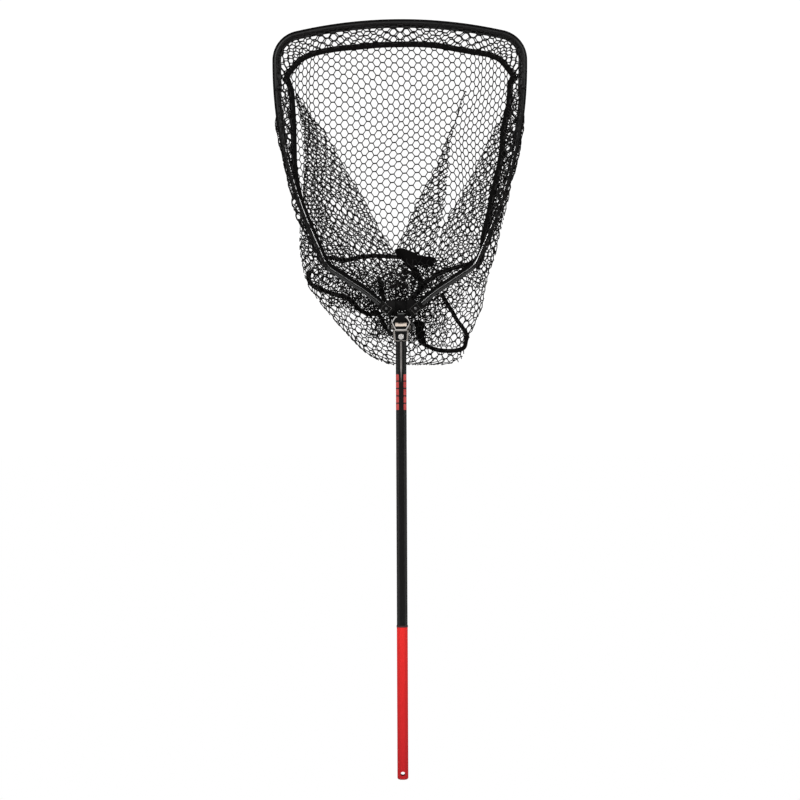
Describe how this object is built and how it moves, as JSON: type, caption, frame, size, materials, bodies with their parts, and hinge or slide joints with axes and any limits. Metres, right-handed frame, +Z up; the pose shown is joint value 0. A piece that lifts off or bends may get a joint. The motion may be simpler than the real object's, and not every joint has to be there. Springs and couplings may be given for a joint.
{
  "type": "landing net",
  "caption": "Folding landing net with an eight-sided handle, red grip, locking hinge, shield-shaped hoop and a hexagonal mesh bag.",
  "frame": {"origin": "middle of the grip, where the hand holds it", "axes": "+Z up the handle to the hoop, -Y the front, X across the hoop"},
  "size_m": [0.6, 0.1785, 1.7936],
  "materials": {
    "carbon_tube": "satin carbon weave under clear coat",
    "grip_red": "fine-grained red rubberised plastic",
    "collar_dark": "dark rubber ring",
    "aluminium": "satin cast light metal",
    "polished_metal": "polished bright rim",
    "steel": "plain steel",
    "black_plastic": "black moulded plastic",
    "cream_plastic": "blank cream inlay",
    "black_casting": "black powder-coated light casting",
    "hoop_black": "black satin coated light tube",
    "net_rubber": "rubber-coated mesh",
    "tape_black": "black woven tape"
  },
  "bodies": {
    "handle": {"handle_tube": "carbon_tube", "grip_core": "aluminium", "grip_sleeve": "grip_red", "grip_collar": "collar_dark", "butt_cap": "grip_red", "hinge_body": "aluminium", "bezel_frame": "polished_metal", "bezel_face": "black_plastic", "bezel_inlay": "cream_plastic", "ferrule_plate": "black_plastic", "ferrule_rivet": "polished_metal", "detent_ball": "steel", "detent_spring": "steel", "pivot_bolt": "steel", "pivot_nut": "steel", "pivot_washers": "black_plastic"},
    "latch": {"thumb_slide": "black_plastic", "lock_bar": "steel"},
    "head": {"yoke_side_right": "black_casting", "yoke_side_left": "black_casting", "yoke_bridge": "black_casting", "bridge_screws": "steel", "arm_clamps": "black_casting", "clamp_screws": "steel", "hoop_tube": "hoop_black", "hoop_plugs": "black_plastic", "net_bag": "net_rubber", "net_foot": "net_rubber", "hem_tape": "tape_black", "base_tape": "tape_black", "net_tab": "tape_black"}
  },
  "joints": [
    {"name": "head_fold", "type": "hinge", "parent": "handle", "child": "head", "pos_m": [0, 0, 0.889], "axis": [1, 0, 0], "range_deg": [0, 165]},
    {"name": "lock_slide", "type": "slide", "parent": "handle", "child": "latch", "axis": [0, 0, 1], "range_m": [0, 0.005]}
  ]
}
